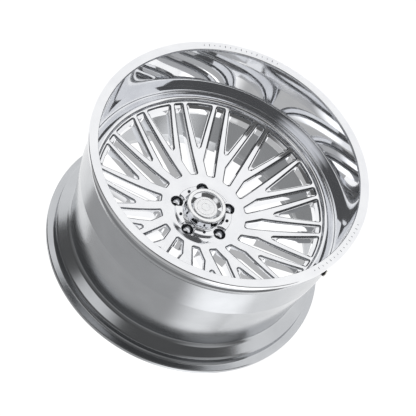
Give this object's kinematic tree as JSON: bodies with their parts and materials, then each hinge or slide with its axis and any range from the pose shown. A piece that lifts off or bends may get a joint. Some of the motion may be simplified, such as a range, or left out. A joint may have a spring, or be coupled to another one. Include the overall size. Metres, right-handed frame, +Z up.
{
  "type": "forged wheel rim",
  "caption": "Deep-lip forged wheel rim with split slender spokes, a lug circle, a raised centre cap and a clamp-in inflation valve whose dust cap unscrews.",
  "frame": {"origin": "on the spin axis, at the middle of the rim's overall width", "axes": "+Y along the spin axis from the face to the inboard side, so the face looks along -Y; +Z up through one lug hole; +X to the right seen from the front"},
  "size_m": [0.6446, 0.3746, 0.6446],
  "materials": {
    "polished_aluminium": "polished",
    "mirror_aluminium": "mirror polished",
    "bright_ring": "fine turned",
    "badge_enamel": "gloss",
    "zinc_steel": "zinc plated",
    "dark_steel": "black oxide",
    "weld_metal": "as welded",
    "ring_plastic": "moulded",
    "cap_plastic": "knurled",
    "valve_rubber": "moulded",
    "seal_rubber": "moulded",
    "valve_brass": "turned",
    "valve_nickel": "nickel plated"
  },
  "bodies": {
    "rim": {"rim_barrel": "polished_aluminium", "forged_centre": "mirror_aluminium", "lug_seat_1": "zinc_steel", "lug_seat_2": "zinc_steel", "lug_seat_3": "zinc_steel", "lug_seat_4": "zinc_steel", "lug_seat_5": "zinc_steel", "hub_centring_ring": "ring_plastic", "weld_bead": "weld_metal", "cap_shell": "mirror_aluminium", "cap_ring": "bright_ring", "cap_badge": "badge_enamel", "cap_seal": "seal_rubber", "cap_screw_1": "dark_steel", "cap_screw_2": "dark_steel", "cap_screw_3": "dark_steel", "cap_screw_4": "dark_steel", "cap_screw_5": "dark_steel", "valve_grommet": "valve_rubber", "valve_stem": "valve_nickel", "valve_washer": "valve_nickel", "valve_nut": "valve_nickel", "valve_core": "valve_brass"},
    "core_pin": {"valve_core_pin": "valve_brass"},
    "cap_lift": {"valve_cap_seal": "valve_rubber"},
    "cap_turn": {"valve_cap": "cap_plastic"}
  },
  "joints": [
    {"name": "core_pin_push", "type": "slide", "parent": "rim", "child": "core_pin", "axis": [-1, 0, 0], "range_m": [0, 0.0012], "stiffness_N_per_m": 100, "springref_m": -0.004},
    {"name": "valve_cap_lift", "type": "slide", "parent": "rim", "child": "cap_lift", "axis": [1, 0, 0], "range_m": [0, 0.00556]},
    {"name": "valve_cap_turn", "type": "hinge", "parent": "cap_lift", "child": "cap_turn", "pos_m": [-0.2977, -0.07525, 0], "axis": [1, 0, 0], "range_deg": [0, 2520]}
  ],
  "couplings": [
    {"joint": "valve_cap_turn", "follows": "valve_cap_lift", "rad_per_m": 7913.3}
  ]
}
